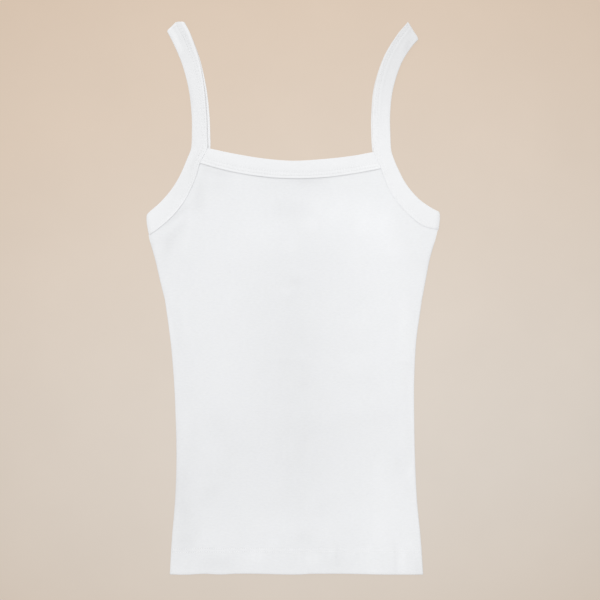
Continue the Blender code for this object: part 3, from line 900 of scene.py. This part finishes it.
def strap_rings(strip, shoulder, creases, bands, shading_table, drift, worn, seed):
    """The rings of one strap: up the front from the underarm, over the shoulder fold, down the back and
    round the underarm fold. A ring at turn angle f has height times the cosine of f above mid-stack,
    and runs out past the fold's line by height times the sine of f. The sewing drifts aside towards the
    shoulder, and is worn, or sunk into the cloth, further down."""
    sewing = in_mm(sizes().strap_rows)
    profile = strip_profile(sewing)
    a, b, _, relief_part, _ = profile
    turning = np.arange(1, FOLD_STEPS) / FOLD_STEPS * np.pi
    parts = []
    for back, first, last, fold in ((0, UNDERARM, 0.0, turning), (1, 0.0, UNDERARM, np.pi - turning)):

        def middle(at, back=back):
            arm, body = strip_ends(strip, at, back)
            return arm + SEWN_SIDE * (body - arm)

        at = whole_stitches(middle, first, last)
        parts.append((at, np.full(len(at), np.pi * back), np.full(len(at), float(back))))
        parts.append((np.full(len(fold), last), fold, 0 * fold))
    rows, turns, layer = (np.concatenate(one) for one in zip(*parts))
    arm, body = strip_ends(strip, rows, layer[:, None])
    width = np.linalg.norm(body - arm, axis=1)[:, None]
    # Distance down from the shoulder, in the front and in the back alike. On the folds it is 0 or less.
    path = np.arange(len(rows)) * (sizes().binding_stitch / MM) / STITCH_STEPS
    top = path[np.flatnonzero(turns > 0)[0]]
    down = np.where(layer > 0, path - top, top - path)[:, None]
    own = a + b * width
    shift = by_table(np.abs(down), drift) * relief_part
    inset = own + shift * np.clip(own / 2, 0, 1) * np.clip((width - own) / 9, 0, 1)
    share = 1 - inset / width
    line = arm[:, None] + (body - arm)[:, None] * share[..., None]
    at_underarm = rows > UNDERARM / 2
    runs = strip_runs(strip)[at_underarm.astype(int)]
    forward = runs[:, :1] + (runs[:, 1:] - runs[:, :1]) * share[..., None]
    reach = np.where(at_underarm[:, None], by_table(share, FOLD_UNDERARM), by_table(share, shoulder))
    near_fold = np.where(at_underarm, UNDERARM - rows, rows) / FOLD_REACH
    run_out = (reach - STACK / 2) * np.clip(1 - near_fold, 0, 1)[:, None]
    holes = np.cos(np.pi / 2 * np.arange(len(rows)))[:, None]
    where = np.stack([down + 0 * inset, inset], -1)
    uneven = ripples(where, seed, 9.0, 60.0)
    sunk = by_table(np.abs(where[..., 0]), worn)
    relief = strip_relief(own, width, sewing, holes, uneven, 1 - 0.7 * sunk)
    relief += sizes().creases * (ridges(where, creases, seed + 5, 0.3) + 0.04 * uneven)
    relief -= BACK_THINNER * (1 - np.cos(turns))[:, None] / 2
    top_row = np.where(layer > 0, NECK_ROWS[1][0], NECK_ROWS[0][0])
    opening = 1 - 0.93 * fall(rows, top_row - 0.5, top_row - 0.15)[:, None]
    height = (BINDING + GAP) / 2 + strip_levels(profile, relief, opening)
    plan = line + forward * (run_out + np.sin(turns)[:, None] * height)[..., None]
    rings = np.dstack([plan, STACK / 2 + np.cos(turns)[:, None] * height])
    # Painted light and shade: darker higher up, bands from a table, a darker roll at the arm-side fold,
    # lighter and darker along the stitches, the back layer painted lighter, and shade at the underarm fold
    painted_shading = by_table(rings[..., 1], shading_table) + painted_strip_shading(where, width, bands, seed + 9)
    painted_shading += painted_stitch_shading(own, sewing, holes) * (1 - 0.8 * sunk) + 4.0 * layer[:, None]
    painted_shading -= 5.5 * bell(UNDERARM - rows, 0.2)[:, None]
    return rings, path, strip_girth(profile, float(np.median(width))), own[0], {"painted_shading": painted_shading, "sunk": sunk}


def neck_rings(back, seed):
    """The rings of a neck binding, from the left strip to the right one. Its ends follow the strips'
    edges, and are pressed thin where they go into the strips' slots."""
    sewing = in_mm(sizes().neck_rows)
    profile = strip_profile(sewing)
    a, b = profile[:2]

    def edges(shares):
        return [neck_line(lower, back, -TUCK, shares) for lower in (True, False)]

    def middle(shares):
        lower, top = edges(shares)
        return SEWN_SIDE * lower + (1 - SEWN_SIDE) * top

    lower, top = edges(whole_stitches(middle, 0.0, 1.0))
    width = np.linalg.norm(top - lower, axis=1)[:, None]
    inset = a + b * width
    line = lower[:, None] + (top - lower)[:, None] * (inset / width)[..., None]
    path = np.arange(len(line)) * (sizes().binding_stitch / MM) / STITCH_STEPS
    top_row, lower_row = NECK_ROWS[back]
    for end, strip, away in ((0, STRIP_LEFT, path), (-1, STRIP_RIGHT, path[-1] - path)):
        rows = lower_row + (top_row - lower_row) * (inset / width)[end]
        bow = strip_seam(strip, rows, back, -TUCK) - line[end]
        line = line + fall(away, 0.0, 16.0)[:, None, None] * bow
    pressed = fall(np.minimum(path, path[-1] - path), 1.0, 2.1)[:, None]
    where = np.stack([path[:, None] + 0 * inset, inset], -1)
    uneven = ripples(where, seed, 9.0, 60.0)
    holes = np.cos(np.pi / 2 * np.arange(len(path)))[:, None]
    relief = strip_relief(inset, width, sewing, holes, uneven, 1.0) + 0.05 * uneven - BACK_THINNER * back
    levels = strip_levels(profile, relief, 1 - 0.9 * pressed)
    levels = END_LEVEL + (levels - END_LEVEL) * (1 - END_PRESSED * pressed)
    height = (BINDING + GAP) / 2 + levels
    rings = np.dstack([line, STACK / 2 + (-height if back else height)])
    # Painted light and shade: bands from a table, a darker roll at the top edge, lighter and darker along the
    # stitches, a little darker all over, and a painted shadow along the body edge
    painted_shading = painted_strip_shading(where, width, BANDS_NECK, seed + 9) + 0.25 * painted_stitch_shading(inset, sewing, holes) - 0.8
    marks = {"painted_shading": painted_shading - 5.0 * bell(inset, 0.7), "sunk": 0.55 + 0.0 * painted_shading}
    return rings, path, strip_girth(profile, float(np.median(width))), inset[len(inset) // 2], marks


# ---- Sewing


def stitches(line, up, closed, seed):
    """Rounded stitches along a line. Each is a tube whose ends dip into the cloth, six-sided, its rings
    turned about the line's own direction."""
    draw = np.random.default_rng(seed)
    count = (len(line) if closed else len(line) - 1) // STITCH_STEPS
    start = STITCH_STEPS * np.arange(count)[:, None]
    share = np.array((0.28, 1.0, 2.0, 3.0, 3.72))
    dip = np.array((-0.16, 0.06, 0.1, 0.06, -0.16))
    thick = np.array((0.5, 0.95, 1.0, 0.95, 0.5)) * (sizes().thread / MM) / 2

    def read(values, at):
        low = np.floor(at).astype(int)
        part = (at - low)[..., None]
        after = (low + 1) % len(values) if closed else np.minimum(low + 1, len(values) - 1)
        return values[low % len(values)] * (1 - part) + values[after] * part

    at = start + share + 0.07 * draw.standard_normal((count, 1))
    at = np.clip(at, 0, None if closed else len(line) - 1.001)
    rise = unit(read(up, at))
    way = unit(read(line, at + 0.3) - read(line, np.maximum(at - 0.3, 0)))
    beside = np.cross(way, rise)
    centre = read(line, at) + rise * (dip + 0.02 * draw.standard_normal((count, 1)))[..., None]
    centre += beside * (0.05 * draw.standard_normal((count, 1, 1)))
    turn = np.arange(6) / 6 * 2 * np.pi
    spoke = np.cos(turn)[:, None] * beside[:, :, None] + np.sin(turn)[:, None] * rise[:, :, None]
    return centre[:, :, None] + spoke * thick[:, None, None]


def sew(name, rows, shading_table, slot):
    """One piece of all the stitches in several rows, each painted lighter or darker, as a table of painted
    light and shade says for its height.
    """
    tubes = np.concatenate(rows)
    count, rings, sides = tubes.shape[:3]
    first = (np.arange(count) * rings * sides)[:, None, None]
    ring = np.arange(rings - 1)[:, None]
    side = np.arange(sides)[None, :]
    corners = ((ring, side), (ring, side + 1), (ring + 1, side + 1), (ring + 1, side))
    quads = np.stack([first + i * sides + j % sides for i, j in corners], -1).reshape(-1, 4)
    flat = np.stack([np.stack([0.6 * i + 0.0 * j, 0.2 * j + 0.0 * i], -1) for i, j in corners], -2)
    flat = np.tile(flat.reshape(-1, 4, 2), (count, 1, 1))
    ends = first[:, 0] + np.arange(sides)[::-1]
    ends = np.vstack([ends, first[:, 0] + (rings - 1) * sides + np.arange(sides)])
    flat = [flat, np.zeros((*ends.shape, 2))]
    marks = {"painted_shading": by_table(tubes[..., 1], shading_table)}
    return dress(make_mesh(name, tubes.reshape(-1, 3), [quads, ends], flat, white_thread(), marks), slot)


def rows_on_rings(rings, inset, sewing, closed, seed):
    """Both stitch rows of a binding or strap: the ring points nearest each row, and the way out there."""
    made = []
    for k, row in enumerate(in_mm(sewing)):
        point = int(np.argmin(np.abs(inset - row)))
        line = rings[:, point]
        along = np.roll(line, -1, 0) - np.roll(line, 1, 0)
        if not closed:
            along[[0, -1]] = along[[1, -2]]
        up = unit(np.cross(along, rings[:, point - 3] - rings[:, point + 3]))
        up *= np.sign((up * (line - rings[:, -6])).sum(-1, keepdims=True))
        made.append(stitches(line, up, closed, seed + k))
    return made


def hem_stitches(back, seed):
    """Both stitch rows of a hem, laid on the panel's outer face from side to side."""
    made = []
    stitch = sizes().hem_stitch / MM
    for k, row in enumerate(in_mm(sizes().hem_rows)):
        level = HEM + row
        first = int(np.ceil((side_x(level, 1) + 1.6) / stitch))
        last = int((side_x(level, 2) - 1.6) / stitch)
        across = np.arange(STITCH_STEPS * first, STITCH_STEPS * last + 1) * stitch / STITCH_STEPS
        places = np.column_stack([across, level + hem_wave(across)])
        line = np.column_stack([places, panel_heights(places, back)[0]])
        up = np.tile((0.0, 0.0, -1.0 if back else 1.0), (len(line), 1))
        made.append(stitches(line, up, False, seed + k))
    return made


# ---- Finishes


class Value:
    """A node's output that can stand in a sum: each operator adds its Math node."""

    def __init__(self, nodes, socket):
        self.nodes = nodes
        self.socket = socket

    def math(self, operation, *others):
        """This value, then the others, through a Math node."""
        return self.nodes.add("Math", {"operation": operation}, dict(enumerate((self, *others))))

    def __add__(self, other):
        return self.math("ADD", other)

    def __radd__(self, other):
        return self.math("ADD", other)

    def __sub__(self, other):
        return self.math("SUBTRACT", other)

    def __rsub__(self, other):
        return self.nodes.add("Math", {"operation": "SUBTRACT"}, {0: other, 1: self})

    def __mul__(self, other):
        return self.math("MULTIPLY", other)

    def __rmul__(self, other):
        return self.math("MULTIPLY", other)

    def __abs__(self):
        return self.math("ABSOLUTE")


class Nodes:
    """A material's nodes, added one at a time round its one shader."""

    def __init__(self, name):
        self.material = bpy.data.materials.new(name)
        self.material.use_nodes = True
        self.tree = self.material.node_tree
        self.shader = self.tree.nodes["Principled BSDF"]

    def fill(self, node, values):
        """Sets or links a node's sockets."""
        for key, value in values.items():
            if isinstance(value, Value):
                self.tree.links.new(value.socket, node.inputs[key])
            else:
                node.inputs[key].default_value = value

    def add(self, kind, settings, values, output=0):
        """Adds a node: its settings first, then the values or links of its sockets."""
        node = self.tree.nodes.new("ShaderNode" + kind)
        for key, value in settings.items():
            setattr(node, key, value)
        self.fill(node, values)
        return Value(self, node.outputs[output])

    def blend(self, share, first, second):
        """A colour between two others."""
        return self.add("Mix", {"data_type": "RGBA"}, {0: share, 6: first, 7: second}, 2)

    def scaled(self, colour, share):
        """A colour or a place times a number."""
        return self.add("VectorMath", {"operation": "SCALE"}, {0: colour, "Scale": share})

    def noise(self, place, scale, detail=2.0, roughness=0.5, output=0):
        """Cloudy noise round 0.5, or three of it as a colour from output 1."""
        values = {"Vector": place, "Scale": scale, "Detail": detail, "Roughness": roughness}
        return self.add("TexNoise", {}, values, output)

    def parts(self, place):
        """The x and the y of a place."""
        node = self.add("SeparateXYZ", {}, {0: place}).socket.node
        return [Value(self, socket) for socket in node.outputs[:2]]

    def mark(self, name):
        """A value kept at the cloth's points."""
        return self.add("Attribute", {"attribute_name": name}, {}, 2)


def knit(across, along):
    """Height of plain knit, 0 to 1, from places counted in wales and courses. Each wale is a column of
    Vs: a leg's ridge lies a quarter of the wale either side of its middle, and the loops step along it."""
    leg = abs(across.math("FRACT") - 0.5)
    ridge = 1.0 - (abs(leg - 0.25) * 4.0).math("POWER", 2.0)
    loop = ((along - leg * 1.5) * (2 * np.pi)).math("SINE")
    return ridge * (0.6 + loop * 0.4)


def needle_holes(x, y, rows, stitch):
    """1 in the middle of each needle hole, falling to 0 past its rim: 1 minus 3 times the squared
    distance from the nearest stitch's end on the nearer row. Rows and stitch are in millimetres."""
    row = abs(y - rows[0]).math("MINIMUM", abs(y - rows[1]))
    beside = ((x * (1 / stitch) + 0.5).math("FRACT") - 0.5) * stitch
    return (1.0 - (beside * beside + row * row) * 3.0).math("MAXIMUM", 0.0)


def jersey(name, colour, lengthwise, streaks, rows, sewn_length):
    """White cotton jersey. Its knit follows the cloth, wales lengthwise or across, with slight streaks
    along the courses as strong as given, uneven thickness, a soft nap, and needle holes along the rows
    of sewing, with painted shade in them. It takes the painted light and shade kept at its points."""
    nodes = Nodes(name)
    place = nodes.add("UVMap", {"uv_map": "cloth"}, {})
    holes = needle_holes(*nodes.parts(place), rows, sewn_length)
    drift = nodes.scaled(nodes.noise(place, 0.09, output=1), 0.8)
    place = nodes.add("VectorMath", {"operation": "ADD"}, {0: place, 1: drift})
    x, y = nodes.parts(place)
    across, along = (x, y) if lengthwise else (y, x)
    stitch = knit(across * (MM / finish().wale), along * (MM / finish().course))
    stretched = nodes.add("CombineXYZ", {}, {0: across * 0.25, 1: along * 0.6})
    streak = nodes.noise(stretched, 1.0, roughness=0.6) - 0.5
    cloudy = nodes.noise(place, 0.035) - 0.5
    # Brightness: painted light and shade kept at the points, streaks, clouding and the knit; then painted
    # shade in the needle holes, less where the sewing has sunk
    light = 1.0 + nodes.mark("painted_shading") * 0.01 + streak * streaks + cloudy * 0.022 + (stitch - 0.5) * 0.012
    light = light - holes * (0.12 - nodes.mark("sunk") * 0.1)
    height = stitch + streak * 0.9 - holes * 1.5
    values = {
        "Base Color": nodes.scaled(tuple(colour), light),
        "Roughness": 0.86 + cloudy * 0.1,
        "Normal": nodes.add("Bump", {}, {"Strength": 0.35, "Distance": 0.00012, "Height": height}),
        "Sheen Weight": finish().sheen,
        "Sheen Roughness": 0.45,
        "Specular IOR Level": 0.25,
    }
    nodes.fill(nodes.shader, values)
    return nodes.material


def cotton_thread(name, colour):
    """Two-ply sewing thread: slanting plies in relief, a little glossier than the cloth."""
    nodes = Nodes(name)
    x, y = nodes.parts(nodes.add("UVMap", {"uv_map": "cloth"}, {}))
    ply = ((x * 1.4 + y * 0.9) * (2 * np.pi)).math("SINE")
    # The plies, and painted light and shade kept at the thread's points
    light = 0.985 + ply * 0.015 + nodes.mark("painted_shading") * 0.01
    values = {
        "Base Color": nodes.scaled(tuple(colour), light),
        "Roughness": 0.62 + ply * 0.04,
        "Normal": nodes.add("Bump", {}, {"Strength": 0.4, "Distance": 0.00005, "Height": ply}),
        "Sheen Weight": 0.1,
    }
    nodes.fill(nodes.shader, values)
    return nodes.material


def floor_finish():
    """Plain pale backdrop: its colour changes softly from far to near, with a faint clouding, and with
    painted shade towards the sides and both ends, lighter at the far end than at the near one. It glows
    mostly of itself, so that it takes only a light shadow; the glow is painted light."""
    nodes = Nodes("pale_floor")
    place = nodes.add("TexCoord", {}, {}, 3)
    x, y = nodes.parts(place)
    near = nodes.add("MapRange", {"interpolation_type": "SMOOTHSTEP"}, {0: y, 1: 0.33, 2: -0.33})
    colour = nodes.blend(near + x * 0.5, (*finish().floor_far, 1.0), (*finish().floor_near, 1.0))
    # Painted shade: darker and warmer towards the sides and both ends
    dim = nodes.add("VectorMath", {"operation": "MULTIPLY"}, {0: colour, 1: (0.9, 0.84, 0.78)})
    colour = nodes.blend(x * x * 2.1 + y * y * 5.0, colour, dim)
    # Painted light and shade: lighter towards the far end, darker towards the sides
    light = 1.0 + (nodes.noise(place, 9.0, 4.0, 0.6) - 0.5) * 0.06 + y * 0.085 - x * x * 0.35
    colour = nodes.scaled(colour, light)
    values = {"Base Color": nodes.scaled(colour, 0.07), "Roughness": 0.9, "Specular IOR Level": 0.0}
    nodes.fill(nodes.shader, {**values, "Emission Color": colour, "Emission Strength": 0.925})
    return nodes.material


def material(name, make, *values):
    """A finish by name, made once."""
    return bpy.data.materials.get(name) or make(name, *values)


def panel_knit():
    rows = [HEM + row for row in in_mm(sizes().hem_rows)]
    stitch = sizes().hem_stitch / MM
    return material("panel_knit", jersey, finish().body_white, True, PANEL_STREAKS, rows, stitch)


def strip_knit(name, sewing):
    stitch = sizes().binding_stitch / MM
    return material(name, jersey, finish().strip_white, False, STRIP_STREAKS, in_mm(sewing), stitch)


def white_thread():
    return material("white_thread", cotton_thread, finish().thread_white)


def dress(piece, slot, *nodes):
    """The piece moves with the garment and stands for the given nodes. slot is not used."""
    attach(piece, "root")
    if nodes:
        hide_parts(*nodes)
    return piece


# ---- Operators


class TANKTOP_OT_panels(bpy.types.Operator):
    """Makes the front and back panels with their hems and hem stitching"""

    bl_idname = "tank_top.panels"
    bl_label = "Front and back"

    def execute(self, context):
        for back, name, shading_table in ((0, "front", PAINTED_SHADING_FRONT), (1, "back", ())):
            plan = panel_plan(back)
            flat = plan.copy()
            flat[..., 1] -= faded_wave(plan)
            # On a panel, sunk only weakens the painted shade in the hem's needle holes, towards the right
            marks = {"painted_shading": painted_panel_shading(plan, shading_table), "sunk": 1.0 - 0.95 * fall(plan[..., 0], -120.0, 40.0)}
            heights = panel_heights(plan, back)
            piece = cloth_wall(f"{name}_cloth", plan, heights, flat, panel_knit(), marks)
            dress(piece, "body_jersey", f"{name}_panel")
            rows = hem_stitches(back, 50 + 4 * back)
            sewing = sew(f"{name}_hem_stitches", rows, PAINTED_SHADING_STITCHES, "body_jersey")
        return {"FINISHED"}


class TANKTOP_OT_neck_bindings(bpy.types.Operator):
    """Makes the front and back neck bindings with their stitching"""

    bl_idname = "tank_top.neck_bindings"
    bl_label = "Neck bindings"

    def execute(self, context):
        for back, name in ((0, "front"), (1, "back")):
            rings, path, girth, inset, marks = neck_rings(back, 61 + back)
            knitted = strip_knit("neck_knit", sizes().neck_rows)
            piece = carried(f"{name}_neck_rib", rings, path, girth, False, knitted, marks)
            dress(piece, "binding_rib", f"{name}_neck_binding")
            rows = rows_on_rings(rings[4:-4], inset, sizes().neck_rows, False, 70 + 4 * back)
            sewing = sew(f"{name}_neck_stitches", rows, PAINTED_SHADING_STITCHES, "binding_rib")
        return {"FINISHED"}


class TANKTOP_OT_straps(bpy.types.Operator):
    """Makes both armhole bindings with their straps and stitching"""

    bl_idname = "tank_top.straps"
    bl_label = "Armhole bindings and straps"

    def execute(self, context):
        left = (SHOULDER_LEFT, CREASES_LEFT, BANDS_LEFT, PAINTED_SHADING_LEFT, DRIFT_LEFT, WORN_LEFT, 81)
        right = (SHOULDER_RIGHT, CREASES_RIGHT, BANDS_RIGHT, PAINTED_SHADING_RIGHT, DRIFT_RIGHT, WORN_RIGHT, 91)
        for name, strip, lie in (("left", STRIP_LEFT, left), ("right", STRIP_RIGHT, right)):
            rings, path, girth, inset, marks = strap_rings(strip, *lie)
            shading_table, seed = lie[3], lie[-1]
            knitted = strip_knit("strap_knit", sizes().strap_rows)
            piece = carried(f"{name}_strap_rib", rings, path, girth, True, knitted, marks)
            dress(piece, "binding_rib", f"{name}_armhole_strap")
            rows = rows_on_rings(rings, inset, sizes().strap_rows, True, seed + 7)
            sewing = sew(f"{name}_strap_stitches", rows, shading_table, "binding_rib")
        return {"FINISHED"}


class TANKTOP_OT_stage(bpy.types.Operator):
    """Makes the floor, the light and the camera"""

    bl_idname = "tank_top.stage"
    bl_label = "Floor, light and camera"

    def execute(self, context):
        scene = context.scene
        self.lay_floor(scene)
        self.light(scene)
        self.aim(scene)
        scene.view_settings.view_transform = "Standard"
        return {"FINISHED"}

    def lay_floor(self, scene):
        half = STAGE_SIZE / 2
        mesh = bpy.data.meshes.new("floor")
        corners = [(-half, -half), (half, -half), (half, half), (-half, half)]
        mesh.from_pydata([(x, y, ON_FLOOR) for x, y in corners], [], [(0, 1, 2, 3)])
        mesh.materials.append(floor_finish())
        floor = bpy.data.objects.new("floor", mesh)
        scene.collection.objects.link(floor)

    def light(self, scene):
        world = bpy.data.worlds.new("room")
        world.use_nodes = True
        ground = world.node_tree.nodes["Background"]
        ground.inputs["Color"].default_value = (1.0, 1.0, 1.0, 1.0)
        ground.inputs["Strength"].default_value = finish().sky
        scene.world = world
        self.hang(scene, "window", (-1.5, 2.9, 3.6), 2.6, finish().key_power)
        self.hang(scene, "reflector", (1.1, 0.25, 0.9), 0.9, finish().fill_power)

    def hang(self, scene, name, place, size, power):
        """A square light that faces the garment."""
        light = bpy.data.lights.new(name, "AREA")
        light.shape = "SQUARE"
        light.size = size
        light.energy = power
        lamp = bpy.data.objects.new(name, light)
        lamp.location = place
        lamp.rotation_mode = "QUATERNION"
        lamp.rotation_quaternion = Vector(place).to_track_quat("Z", "Y")
        scene.collection.objects.link(lamp)

    def aim(self, scene):
        lens = bpy.data.cameras.new("camera")
        lens.lens = 85.0
        lens.sensor_width = 36.0
        lens.clip_start = 0.05
        camera = bpy.data.objects.new("camera", lens)
        camera.location = (0.0074, -0.0018, finish().camera_height)
        scene.collection.objects.link(camera)
        scene.camera = camera


class TANKTOP_PT_pieces(bpy.types.Panel):
    """Lists the garment's sizes, colours and pieces."""

    bl_label = "Tank top"
    bl_idname = "TANKTOP_PT_pieces"
    bl_space_type = "VIEW_3D"
    bl_region_type = "UI"
    bl_category = "Tank top"

    def draw(self, context):
        column = self.layout.column()
        for group in (context.scene.tank_top_sizes, context.scene.tank_top_finish):
            for name in group.__annotations__:
                column.prop(group, name)
        for operator in OPERATORS:
            column.operator(operator.bl_idname)


OPERATORS = (TANKTOP_OT_panels, TANKTOP_OT_neck_bindings, TANKTOP_OT_straps, TANKTOP_OT_stage)
CLASSES = (TankTopSizes, TankTopFinish, *OPERATORS, TANKTOP_PT_pieces)


def register():
    for one in CLASSES:
        bpy.utils.register_class(one)
    bpy.types.Scene.tank_top_sizes = bpy.props.PointerProperty(type=TankTopSizes)
    bpy.types.Scene.tank_top_finish = bpy.props.PointerProperty(type=TankTopFinish)


def unregister():
    del bpy.types.Scene.tank_top_finish
    del bpy.types.Scene.tank_top_sizes
    for one in reversed(CLASSES):
        bpy.utils.unregister_class(one)


def main():
    register()
    bpy.ops.tank_top.panels()
    bpy.ops.tank_top.neck_bindings()
    bpy.ops.tank_top.straps()
    bpy.ops.tank_top.stage()


if __name__ == "__main__":
    main()
